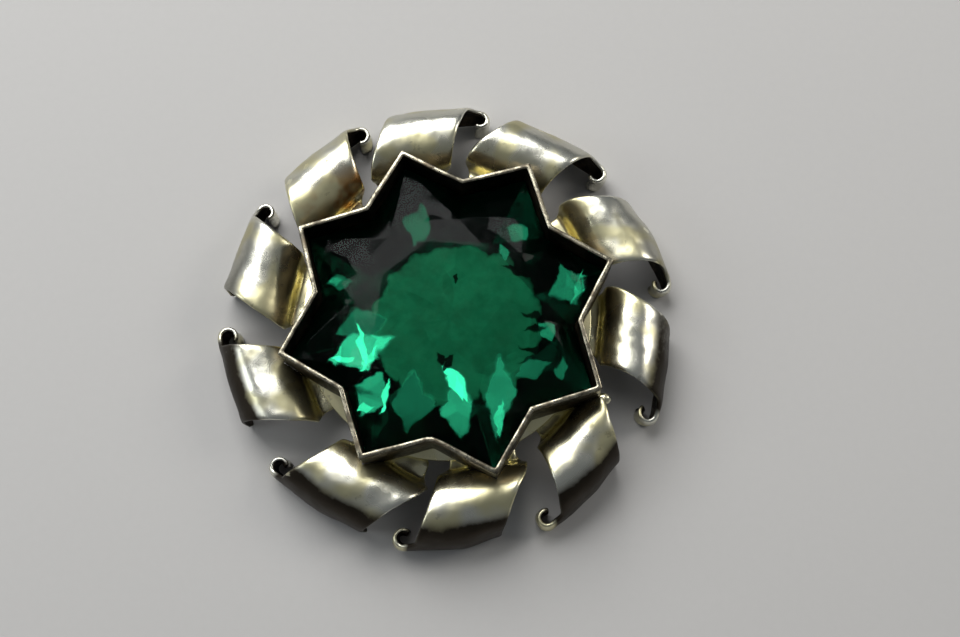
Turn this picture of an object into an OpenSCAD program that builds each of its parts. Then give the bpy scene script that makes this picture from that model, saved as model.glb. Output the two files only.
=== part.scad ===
// Flower brooch: an eight-pointed star stone in a raised star setting,
// ringed by ten curled sheet petals, with a hinged pin and a turning catch behind.
// Millimetres. +Z is out of the front of the brooch, +Y is up as it is worn.
// The origin is the centre of the petal ring, on the plane of the petals' lower edges.

/* [Star setting] */
// Radius of the rim at the star's tips
tip_r = 16.4; // [14.5:0.1:17.5]
// Radius of the rim at the star's valleys
valley_r = 12.75; // [11.5:0.05:13.5]
// Height of the rim above the resting plane
rim_z = 9.0; // [8:0.1:11]
// Thickness of the bent wall strip
wall_t = 0.5; // [0.3:0.05:0.8]
// Direction of the first star tip
star_turn = 106.2; // [0:0.1:360]
// How far the setting sits from the ring's centre, left to right
star_x = 0.2; // [-0.5:0.1:0.5]
// How far the setting sits from the ring's centre, up and down
star_y = -0.4; // [-0.5:0.1:0.5]
// Thickness of the seat strip inside the wall
seat_t = 0.4; // [0.3:0.05:0.6]

/* [Back plate] */
// Height of the plate's underside above the resting plane
plate_z = 3.0; // [2.8:0.1:4]
// Thickness of the plate
plate_t = 0.6; // [0.4:0.05:1]
// Radius of the plate's round edge
plate_r = 14.2; // [13:0.1:15]

/* [Stone] */
// Depth of the stone's girdle below the rim
girdle_drop = 2.7; // [2:0.1:3.5]
// Thickness of the girdle
girdle_t = 0.3; // [0.2:0.05:0.6]
// Height of the crown above the girdle
crown_h = 1.6; // [1:0.1:2]
// Radius of the flat table, to its corners
table_r = 7.1; // [6:0.1:8]
// Radius of the crown's middle corners
crown_mid_r = 9.1; // [8.4:0.1:10]
// Radius of the flat base facet, to its corners
culet_r = 8.6; // [7:0.1:10]
// Clearance between the stone and the wall
stone_gap = 0.1; // [0.05:0.05:0.3]
// Thickness of the foil disc under the stone
foil_t = 0.1; // [0.05:0.05:0.2]

/* [Petals] */
// Largest radius of the petal ring
ring_r = 22.4; // [20.5:0.1:26]
// Width of a petal's strip
petal_w = 7.5; // [6:0.1:8.2]
// Height of a petal's ridge, at the middle of the sheet
ridge_z = 6.0; // [5:0.1:8]
// Radius at which a petal is highest
ridge_r = 18.8; // [17.8:0.1:20]
// Height at which a petal bulges furthest out
belly_z = 2.0; // [1:0.1:2.6]
// Thickness of the petal sheet
sheet_t = 0.45; // [0.3:0.05:0.7]
// Degrees that a petal's edges lean for each millimetre of radius
petal_lean = 1.15; // [0:0.05:2]
// Width of the tab that is soldered under the plate
tab_w = 5.5; // [4:0.1:6]
// Height of the tongue that is rolled into a scroll
tongue_h = 2.6; // [1.5:0.1:3]
// Straight length of the tongue before it rolls
tongue_run = 1.0; // [0.5:0.1:1.5]
// Radius of the scroll, at the middle of the sheet
scroll_r = 0.75; // [0.6:0.05:0.9]
// Angle through which the tongue is rolled
scroll_turn = 230; // [120:5:260]

/* [Pin and catch] */
// Height of the pin's line above the brooch's centre
pin_y = 4.0; // [2:0.1:4.5]
// Height of the pin's line above the resting plane
pin_z = 1.4; // [1.35:0.05:1.6]
// Radius of the pin's wire
pin_r = 0.4; // [0.3:0.05:0.45]
// Distance of the hinge and of the catch from the middle
pin_span = 10.0; // [8:0.1:10.4]
// Length of the pin past the middle of the catch
pin_past = 2.1; // [1.8:0.1:3]
// Radius of the hinge rivet
rivet_r = 0.4; // [0.3:0.05:0.5]
// Radial clearance of the pin's eye on its rivet
rivet_fit = 0.03; // [0.02:0.01:0.08]
// Outer radius of the catch
catch_r = 1.25; // [1.2:0.05:1.3]
// Length of the catch
catch_len = 2.0; // [1.5:0.1:2.4]

/* [Hidden] */
$fn = 48;

POINTS = 8;
STEP = 360 / POINTS;
HALF = STEP / 2;
PETALS = 10;
// Direction of the first petal's clockwise edge, and how far each petal was set from its even place
FIRST_PETAL = 84;
PETAL_NUDGE = [0, 0, 0.5, 1, -1, -2, -3, -4.5, -4.5, -2.5];
// Each strip was cut by hand: its width as a share of petal_w, gained at the side away from the scroll
PETAL_WIDE = [1.08, 1.12, 1.03, 1.04, 1.07, 1.13, 1.24, 1.04, 1.04, 1.07];

// Star outline: every edge line is the same distance from the centre,
// so a star with a constant inset is the same star, smaller.
edge_len = sqrt(pow(tip_r, 2) + pow(valley_r, 2) - 2 * tip_r * valley_r * cos(HALF));
edge_dist = tip_r * valley_r * sin(HALF) / edge_len;
function shrink(inset) = (edge_dist - inset) / edge_dist;
function polar(r, a) = [r * cos(a), r * sin(a)];
function star(inset) = [for (k = [0 : 2 * POINTS - 1])
    polar((k % 2 == 0 ? tip_r : valley_r) * shrink(inset), star_turn + k * HALF)];

// Heights of the stack, from the plate up
floor_z = plate_z + plate_t;
culet_z = floor_z + foil_t + 0.05;
girdle_top = rim_z - girdle_drop;
girdle_low = girdle_top - girdle_t;
table_z = girdle_top + crown_h;
stone_k = shrink(wall_t + stone_gap);
stone_tip = tip_r * stone_k;
stone_valley = valley_r * stone_k;
// The kite facets are flat, so the crown's middle corners lie on the line from table to tip
mid_drop = (crown_mid_r * cos(HALF) - table_r) / (stone_tip - table_r);
crown_mid_z = table_z - crown_h * mid_drop;
// The seat's top meets the sloping underside of the stone
culet_dist = edge_dist * stone_k - culet_r * edge_dist / tip_r;
pavilion_slope = (girdle_low - culet_z) / culet_dist;
seat_top = girdle_low - (stone_gap + seat_t) * pavilion_slope - 0.03;
seat_fit = 0.02;

// Petal profile, from the tab outward: tab, root bend, inner quarter, outer sweep down to the edge
root_bend = 0.8;
tab_z = plate_z - sheet_t / 2;
tab_out = plate_r + 0.3;
tab_in = plate_r - 1.3;
root_r = tab_out + root_bend;
root_z = tab_z + root_bend;
belly_r = ring_r - sheet_t / 2;
under = asin(belly_z / (ridge_z - belly_z));
BEND_N = 3;
INNER_N = 5;
OUTER_N = 9;
ROWS = 1 + BEND_N + INNER_N + OUTER_N;
COLS = 9;
// A profile point is [radius, height, direction of the outward normal]
function bend_at(a) = [tab_out + root_bend * sin(a), root_z - root_bend * cos(a), 90 + a];
function inner_at(a) = [ridge_r - (ridge_r - root_r) * cos(a), root_z + (ridge_z - root_z) * sin(a),
    atan2(sin(a) * (ridge_r - root_r), -cos(a) * (ridge_z - root_z))];
function outer_at(a) = [ridge_r + (belly_r - ridge_r) * cos(a), belly_z + (ridge_z - belly_z) * sin(a),
    atan2(sin(a) * (belly_r - ridge_r), cos(a) * (ridge_z - belly_z))];
profile = concat(
    [[tab_in, tab_z, 90]],
    [for (i = [0 : BEND_N - 1]) bend_at(90 * i / BEND_N)],
    [for (i = [0 : INNER_N - 1]) inner_at(90 * i / INNER_N)],
    [for (i = [0 : OUTER_N]) outer_at(90 - (90 + under) * i / OUTER_N)]);

// Place of a petal's clockwise edge and the strip's width at one radius
function strip_w(r) = r >= root_r ? petal_w : tab_w + (petal_w - tab_w) * (r - tab_in) / (root_r - tab_in);
function mm_to_deg(length, r) = length / r * 180 / PI;
function edge_dir(r, dir) = dir + petal_lean * (belly_r - r) + mm_to_deg((petal_w - strip_w(r)) / 2, r);
// One side of the sheet at one profile point: side is 1 outside and -1 inside
function side_rz(p, side) = [p[0] + side * sheet_t / 2 * cos(p[2]),
    p[1] <= 0.001 ? 0 : p[1] + side * sheet_t / 2 * sin(p[2])];
function body_point(i, j, dir, wide, side) = let (
        p = profile[i],
        q = side_rz(p, side),
        a = edge_dir(p[0], dir) + mm_to_deg(strip_w(p[0]) * wide * j / COLS, p[0]))
    [q[0] * cos(a), q[0] * sin(a), q[1]];

// The tongue starts on the outer wall, runs straight, then rolls inward
TONGUE_ROW = ROWS - 5;
RUN_N = 2;
ROLL_N = 8;
TONGUE_N = RUN_N + ROLL_N;
function tongue_top(k) = let (f = min(1, k / (RUN_N + 1)), top = profile[TONGUE_ROW][1])
    top + (tongue_h - top) * f * (2 - f);
function tongue_along(k) = k <= RUN_N ? tongue_run * k / RUN_N
    : tongue_run + scroll_r * sin(scroll_turn * (k - RUN_N) / ROLL_N);
function tongue_in(k) = k <= RUN_N ? 0 : scroll_r * (1 - cos(scroll_turn * (k - RUN_N) / ROLL_N));
function tongue_roll(k) = k <= RUN_N ? 0 : scroll_turn * (k - RUN_N) / ROLL_N;
function tongue_point(i, k, dir, side) = let (
        p = profile[i],
        a = edge_dir(p[0], dir),
        z = p[1] * tongue_top(k) / profile[TONGUE_ROW][1],
        out = side * sheet_t / 2,
        along = tongue_along(k) + out * sin(tongue_roll(k)),
        r = p[0] - tongue_in(k) + out * cos(tongue_roll(k)))
    [r * cos(a) + along * sin(a), r * sin(a) - along * cos(a), max(0, z)];

// Point numbers: the body's grid, then the tongue's
BODY_COUNT = (ROWS + 1) * (COLS + 1);
TONGUE_COUNT = (ROWS - TONGUE_ROW + 1) * TONGUE_N;
SIDE_COUNT = BODY_COUNT + TONGUE_COUNT;
function body_id(i, j) = i * (COLS + 1) + j;
function tongue_id(i, k) = k == 0 ? body_id(i, 0) : BODY_COUNT + (i - TONGUE_ROW) * TONGUE_N + k - 1;
function side_points(dir, wide, side) = concat(
    [for (i = [0 : ROWS]) for (j = [0 : COLS]) body_point(i, j, dir, wide, side)],
    [for (i = [TONGUE_ROW : ROWS]) for (k = [1 : TONGUE_N]) tongue_point(i, k, dir, side)]);
quads = concat(
    [for (i = [0 : ROWS - 1]) for (j = [0 : COLS - 1])
        [body_id(i, j), body_id(i, j + 1), body_id(i + 1, j + 1), body_id(i + 1, j)]],
    [for (i = [TONGUE_ROW : ROWS - 1]) for (k = [0 : TONGUE_N - 1])
        [tongue_id(i, k + 1), tongue_id(i, k), tongue_id(i + 1, k), tongue_id(i + 1, k + 1)]]);
outline = concat(
    [for (j = [0 : COLS]) body_id(0, j)],
    [for (i = [1 : ROWS]) body_id(i, COLS)],
    [for (j = [1 : COLS]) body_id(ROWS, COLS - j)],
    [for (k = [1 : TONGUE_N]) tongue_id(ROWS, k)],
    [for (i = [1 : ROWS - TONGUE_ROW]) tongue_id(ROWS - i, TONGUE_N)],
    [for (k = [1 : TONGUE_N]) tongue_id(TONGUE_ROW, TONGUE_N - k)],
    [for (i = [1 : TONGUE_ROW - 1]) body_id(TONGUE_ROW - i, 0)]);

// Hinge and catch
hinge_x = -pin_span;
catch_x = pin_span;
pad_t = 0.5;
eye_r = rivet_r + 0.4;
eye_t = 2 * pin_r;
ear_gap = 0.05;
ear_t = 0.5;
ear_r = eye_r + 0.05;
roller_fit = 0.05;
catch_wall = 0.33;
roller_r = catch_r - catch_wall - roller_fit;
roller_bore = pin_r + 0.07;
roller_slot = 2 * pin_r + 0.1;
mouth_w = roller_slot + 0.05;
collar_r = catch_r - 0.1;
collar_t = 0.3;
lug_r = catch_r + 0.25;
lug_w = 0.7;
point_len = 2.4;

// A cylinder that lies along X or along Y, centred on its length
module rod_x(r, length) rotate([0, 90, 0]) cylinder(r = r, h = length, center = true);
module rod_y(r, length) rotate([90, 0, 0]) cylinder(r = r, h = length, center = true);
module at_star() translate([star_x, star_y, 0]) children();

module back_plate() color("silver") translate([0, 0, plate_z]) linear_extrude(plate_t) union() {
    circle(r = plate_r, $fn = 96);
    translate([star_x, star_y]) polygon(star(0));
}

module bezel_wall() color("silver") at_star() translate([0, 0, floor_z])
    linear_extrude(rim_z - floor_z) difference() {
        polygon(star(0));
        polygon(star(wall_t));
    }

module seat_strip() color("dimgray") at_star() translate([0, 0, floor_z])
    linear_extrude(seat_top - floor_z) difference() {
        polygon(star(wall_t + seat_fit));
        polygon(star(wall_t + seat_fit + seat_t));
    }

module foil_disc() color("gainsboro") at_star() translate([0, 0, floor_z])
    cylinder(r = culet_r * cos(HALF), h = foil_t, $fn = 96);

// Stone corners by ring: girdle, crown middle, table, lower girdle, base facet
function ring(r, z, turn) = [for (k = [0 : POINTS - 1])
    [r * cos(star_turn + turn + k * STEP), r * sin(star_turn + turn + k * STEP), z]];
module stone() {
    points = concat(
        ring(stone_tip, girdle_top, 0), ring(stone_valley, girdle_top, HALF),
        ring(crown_mid_r, crown_mid_z, HALF), ring(table_r, table_z, 0),
        ring(stone_tip, girdle_low, 0), ring(stone_valley, girdle_low, HALF),
        ring(culet_r, culet_z, 0));
    tip = 0;
    valley = POINTS;
    mid = 2 * POINTS;
    table = 3 * POINTS;
    low_tip = 4 * POINTS;
    low_valley = 5 * POINTS;
    culet = 6 * POINTS;
    faces = concat(
        [[for (k = [0 : POINTS - 1]) table + POINTS - 1 - k]],
        [[for (k = [0 : POINTS - 1]) culet + k]],
        [for (k = [0 : POINTS - 1]) let (n = (k + 1) % POINTS) each [
            [table + k, table + n, mid + k],
            [table + n, mid + n, tip + n], [table + n, tip + n, mid + k],
            [mid + k, valley + k, tip + k], [mid + k, tip + n, valley + k],
            [tip + k, valley + k, low_valley + k, low_tip + k],
            [valley + k, tip + n, low_tip + n, low_valley + k],
            [low_tip + k, low_valley + k, culet + k], [low_valley + k, low_tip + n, culet + n],
            [low_valley + k, culet + n, culet + k]]]);
    color("darkgreen") at_star() polyhedron(points, faces);
}

// One petal, notched where it meets the star wall
module petal(k) {
    dir = FIRST_PETAL - k * 360 / PETALS + PETAL_NUDGE[k];
    n = len(outline);
    color("khaki") difference() {
        polyhedron(concat(side_points(dir, PETAL_WIDE[k], 1), side_points(dir, PETAL_WIDE[k], -1)), concat(
            [for (q = quads) [q[0], q[1], q[2], q[3]]],
            [for (q = quads) [for (c = [3 : -1 : 0]) q[c] + SIDE_COUNT]],
            [for (e = [0 : n - 1]) [outline[(e + 1) % n], outline[e],
                outline[e] + SIDE_COUNT, outline[(e + 1) % n] + SIDE_COUNT]]));
        at_star() translate([0, 0, plate_z]) linear_extrude(rim_z - plate_z + 1) polygon(star(-0.03));
    }
}

module hinge_block() color("goldenrod") translate([hinge_x, pin_y, 0]) difference() {
    union() {
        translate([-1.3, -1.4, plate_z - pad_t]) cube([2.6, 2.8, pad_t]);
        for (side = [-1, 1]) translate([0, side * (eye_t / 2 + ear_gap + ear_t / 2), 0]) {
            translate([0, 0, pin_z]) rod_y(ear_r, ear_t);
            translate([-ear_r, -ear_t / 2, pin_z]) cube([2 * ear_r, ear_t, plate_z - pad_t - pin_z + 0.1]);
        }
    }
    translate([0, 0, pin_z]) rod_y(rivet_r, 4);
}

module hinge_rivet() color("goldenrod") translate([hinge_x, pin_y, pin_z]) {
    rod_y(rivet_r, eye_t + 2 * (ear_gap + ear_t) + 0.2);
    for (side = [-1, 1]) translate([0, side * (eye_t / 2 + ear_gap + ear_t + 0.1), 0]) rod_y(rivet_r + 0.2, 0.2);
}

module pin_stem() color("gold") difference() {
    union() {
        translate([hinge_x, pin_y, pin_z]) rod_y(eye_r, eye_t);
        translate([hinge_x, pin_y, pin_z]) rotate([0, 90, 0])
            cylinder(r = pin_r, h = 2 * pin_span + pin_past - point_len);
        translate([catch_x + pin_past - point_len, pin_y, pin_z]) rotate([0, 90, 0])
            cylinder(r1 = pin_r, r2 = 0.06, h = point_len);
    }
    translate([hinge_x, pin_y, pin_z]) rod_y(rivet_r + rivet_fit, 4);
}

module catch_housing() color("goldenrod") translate([catch_x, pin_y, 0]) difference() {
    union() {
        translate([-catch_len / 2, -1.4, plate_z - pad_t]) cube([catch_len, 2.8, pad_t]);
        translate([0, 0, pin_z]) rod_x(catch_r, catch_len);
    }
    translate([0, 0, pin_z]) rod_x(catch_r - catch_wall, 4);
    translate([-2, -mouth_w / 2, pin_z - catch_r - 1]) cube([4, mouth_w, catch_r + 1]);
}

module catch_roller() color("gold") translate([catch_x, pin_y, pin_z]) difference() {
    union() {
        rod_x(roller_r, catch_len + 2 * (roller_fit + collar_t));
        for (side = [-1, 1]) translate([side * (catch_len / 2 + roller_fit + collar_t / 2), 0, 0])
            rod_x(collar_r, collar_t);
        translate([-catch_len / 2 - roller_fit - collar_t, 0, -lug_w / 2]) cube([collar_t, lug_r, lug_w]);
    }
    rod_x(roller_bore, 4);
    translate([-2, -roller_slot / 2, -3]) cube([4, roller_slot, 3]);
}

back_plate();
bezel_wall();
seat_strip();
foil_disc();
stone();
petal(0);  // petal_01
petal(1);  // petal_02
petal(2);  // petal_03
petal(3);  // petal_04
petal(4);  // petal_05
petal(5);  // petal_06
petal(6);  // petal_07
petal(7);  // petal_08
petal(8);  // petal_09
petal(9);  // petal_10
hinge_block();
hinge_rivet();
pin_stem();
catch_housing();
catch_roller();
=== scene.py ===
"""Looks for a flower brooch: a faceted green star stone in a raised star wall, ringed by ten curled petals.

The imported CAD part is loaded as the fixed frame. Each sub-assembly below models its own finished pieces
around that frame, in metres, and dresses them in procedural finishes. +Z is out of the brooch's face and
+Y is up as it is worn.
"""

import logging
import math
from collections.abc import Callable, Iterable
from dataclasses import dataclass, field
from enum import Enum

import bmesh
import bpy
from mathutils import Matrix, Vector


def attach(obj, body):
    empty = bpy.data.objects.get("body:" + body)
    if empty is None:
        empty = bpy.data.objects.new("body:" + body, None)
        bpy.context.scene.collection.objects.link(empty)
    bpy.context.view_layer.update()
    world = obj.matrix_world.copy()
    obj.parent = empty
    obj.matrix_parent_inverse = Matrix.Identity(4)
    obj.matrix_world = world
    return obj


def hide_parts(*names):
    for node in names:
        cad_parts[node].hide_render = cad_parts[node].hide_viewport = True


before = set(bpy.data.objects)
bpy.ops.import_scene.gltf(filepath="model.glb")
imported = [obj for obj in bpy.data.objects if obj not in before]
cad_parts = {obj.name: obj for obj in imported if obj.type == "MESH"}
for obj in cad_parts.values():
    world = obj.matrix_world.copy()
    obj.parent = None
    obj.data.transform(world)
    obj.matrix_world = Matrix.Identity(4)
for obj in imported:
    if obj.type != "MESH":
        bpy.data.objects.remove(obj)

MM = 0.001
TINY = 0.001 * MM
WELD = 0.002 * MM
FLAT_ANGLE = 0.5
# Vertex value that marks the scroll's tongue, where the painted dark reflection is left off.
SPARED_DARK_REFLECTION = "rubbed"
MIDDLE_R = 9.0 * MM
STAR_CENTRE = (0.2 * MM, -0.4 * MM, 0.0)
LOG = logging.getLogger("brooch")
Point = tuple[float, float, float]
Colour = tuple[float, float, float]
Socket = bpy.types.NodeSocket
Material = bpy.types.Material
Thing = bpy.types.Object


class Body(Enum):
    """The rigid groups of pieces that move together."""

    BROOCH = "brooch"
    PIN = "pin"
    ROLLER = "roller"


class Slot(Enum):
    """The record's material slots."""

    GILT = "gilt_silver"
    WALL = "dark_silver"
    GLASS = "green_glass"
    STEEL = "pin_steel"


class Bench:
    """The modelling moves that every sub-assembly uses."""

    @staticmethod
    def clear() -> None:
        """Leaves edit mode and deselects everything."""
        if bpy.context.object is not None and bpy.context.object.mode != "OBJECT":
            bpy.ops.object.mode_set(mode="OBJECT")
        bpy.ops.object.select_all(action="DESELECT")

    @staticmethod
    def hold(obj: Thing) -> Thing:
        """Makes obj the only selected and the active object.

        Args:
            obj: The object to work on.

        Returns:
            The same object.
        """
        Bench.clear()
        obj.select_set(True)
        bpy.context.view_layer.objects.active = obj
        return obj

    @staticmethod
    def edit(obj: Thing, kind: str = "VERT") -> None:
        """Opens obj in edit mode with nothing selected.

        Args:
            obj: The object to open.
            kind: What is picked: VERT, EDGE or FACE.
        """
        Bench.hold(obj)
        bpy.ops.object.mode_set(mode="EDIT")
        bpy.ops.mesh.select_mode(type=kind)
        bpy.ops.mesh.select_all(action="DESELECT")

    @staticmethod
    def done() -> None:
        """Leaves edit mode."""
        bpy.ops.object.mode_set(mode="OBJECT")

    @staticmethod
    def pick_verts(test: Callable[[Vector], bool]) -> int:
        """Selects the vertices that pass a test on their place, and nothing else.

        Args:
            test: Takes a vertex's place and says whether it is wanted.

        Returns:
            How many vertices are selected.
        """
        mesh = bpy.context.object.data
        bpy.ops.mesh.select_mode(type="VERT")
        bpy.ops.mesh.select_all(action="DESELECT")
        work = bmesh.from_edit_mesh(mesh)
        for vert in work.verts:
            if test(vert.co):
                vert.select = True
        work.select_flush(True)
        bmesh.update_edit_mesh(mesh)
        return sum(v.select for v in work.verts)

    @staticmethod
    def pick_edges(test: Callable[[Vector, Vector], bool]) -> int:
        """Selects the edges whose two ends pass a test, and nothing else.

        Args:
            test: Takes the places of an edge's ends and says whether it is wanted.

        Returns:
            How many edges are selected.
        """
        mesh = bpy.context.object.data
        bpy.ops.mesh.select_mode(type="EDGE")
        bpy.ops.mesh.select_all(action="DESELECT")
        work = bmesh.from_edit_mesh(mesh)
        count = 0
        for edge in work.edges:
            if test(edge.verts[0].co, edge.verts[1].co):
                edge.select = True
                count += 1
        bmesh.update_edit_mesh(mesh)
        return count

    @staticmethod
    def pull(step: Point) -> None:
        """Extrudes the selection and moves it.

        Args:
            step: How far the new part moves.
        """
        bpy.ops.mesh.extrude_region_move(TRANSFORM_OT_translate={"value": step})

    @staticmethod
    def shift(step: Point) -> None:
        """Moves the selection by step."""
        bpy.ops.transform.translate(value=step)

    @staticmethod
    def turn(degrees: float, centre: Point = (0, 0, 0), axis: str = "Z") -> None:
        """Turns the selection by the right-hand rule.

        Args:
            degrees: Angle to turn through.
            centre: A point on the axis of the turn.
            axis: X, Y or Z.
        """
        # Without a window the operator turns the other way, so the angle is negated.
        bpy.ops.transform.rotate(value=-math.radians(degrees), orient_axis=axis, center_override=centre)

    @staticmethod
    def scale(factors: Point, centre: Point) -> None:
        """Scales the selection about a point.

        Args:
            factors: Scale along X, Y and Z.
            centre: The point that stays.
        """
        bpy.ops.transform.resize(value=factors, center_override=centre)

    @staticmethod
    def selected_centre() -> Point:
        """Gives the middle of the selected vertices.

        Returns:
            The middle.
        """
        work = bmesh.from_edit_mesh(bpy.context.object.data)
        places = [v.co for v in work.verts if v.select]
        middle = sum(places, Vector()) / len(places)
        return (middle.x, middle.y, middle.z)

    @staticmethod
    def finish_with(obj: Thing, kind: str, **values: object) -> None:
        """Adds a modifier and applies it.

        Args:
            obj: The object that takes it.
            kind: The modifier's type.
            values: The modifier's settings by name.
        """
        Bench.hold(obj)
        bpy.ops.object.modifier_add(type=kind)
        modifier = obj.modifiers[-1]
        for name, value in values.items():
            setattr(modifier, name, value)
        bpy.ops.object.modifier_apply(modifier=modifier.name)

    @staticmethod
    def settle(obj: Thing) -> None:
        """Writes the object's place, turn and scale into its mesh."""
        Bench.hold(obj)
        bpy.ops.object.transform_apply(location=True, rotation=True, scale=True)

    @staticmethod
    def copy(obj: Thing, name: str) -> Thing:
        """Copies an object with its own mesh.

        Args:
            obj: The object to copy.
            name: The copy's name.

        Returns:
            The copy.
        """
        twin = obj.copy()
        twin.data = obj.data.copy()
        twin.name = name
        twin.data.name = name
        twin.parent = None
        bpy.context.scene.collection.objects.link(twin)
        return twin

    @staticmethod
    def smooth(obj: Thing, degrees: float = 180.0) -> None:
        """Shades faces smooth across edges blunter than an angle.

        Args:
            obj: The object to shade.
            degrees: Sharper edges than this stay sharp.
        """
        Bench.hold(obj)
        if degrees >= 180:
            bpy.ops.object.shade_smooth()
        else:
            bpy.ops.object.shade_smooth_by_angle(angle=math.radians(degrees))

    @staticmethod
    def clouds(name: str, grain_mm: float) -> bpy.types.Texture:
        """Makes a soft cloud pattern for uneven surfaces.

        Args:
            name: The pattern's name.
            grain_mm: Size of its lumps.

        Returns:
            The pattern.
        """
        pattern = bpy.data.textures.get(name) or bpy.data.textures.new(name, type="CLOUDS")
        pattern.noise_scale = grain_mm * MM
        pattern.noise_depth = 1
        return pattern

    @staticmethod
    def uneven(obj: Thing, grain_mm: float, depth_mm: float, direction: str = "NORMAL") -> None:
        """Gives a surface shallow lumps.

        Args:
            obj: The object that takes them.
            grain_mm: Size of the lumps.
            depth_mm: Full height of the lumps.
            direction: NORMAL, X, Y or Z.
        """
        Bench.finish_with(
            obj,
            "DISPLACE",
            texture=Bench.clouds(f"lumps_{grain_mm}", grain_mm),
            texture_coords="GLOBAL",
            strength=depth_mm * MM,
            mid_level=0.5,
            direction=direction,
        )

    @staticmethod
    def softened(node: str, name: str, width_mm: float, angle: float = 30.0, segments: int = 2) -> Thing:
        """Copies a CAD node, joins its loose triangles and rounds its edges.

        Args:
            node: The CAD node's name.
            name: The new piece's name.
            width_mm: Width of the rounding.
            angle: Edges blunter than this many degrees are left.
            segments: Steps in the rounding.

        Returns:
            The finished piece, which stands for the node.
        """
        twin = Bench.copy(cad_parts[node], name)
        for key in [k for k in twin.keys() if k.startswith("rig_")]:
            del twin[key]
        twin.hide_render = False
        Bench.edit(twin)
        bpy.ops.mesh.select_all(action="SELECT")
        bpy.ops.mesh.remove_doubles(threshold=WELD)
        bpy.ops.mesh.dissolve_limited(angle_limit=math.radians(FLAT_ANGLE))
        Bench.done()
        Bench.finish_with(
            twin,
            "BEVEL",
            width=width_mm * MM,
            segments=segments,
            limit_method="ANGLE",
            angle_limit=math.radians(angle),
            use_clamp_overlap=True,
            harden_normals=False,
        )
        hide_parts(node)
        return twin


@dataclass(frozen=True)
class Kite:
    """A diamond-shaped patch painted on the foil: a facet's painted glint or painted dark reflection seen
    in the stone.

    Its place and its half width and half length are in millimetres, and its turn in degrees. It is long
    from bottom to top before the turn. Its level says how bright a painted glint it gives, from 0 to 1.
    """

    x: float
    y: float
    wide: float
    long: float
    turn: float
    level: float = 0.0


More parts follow.
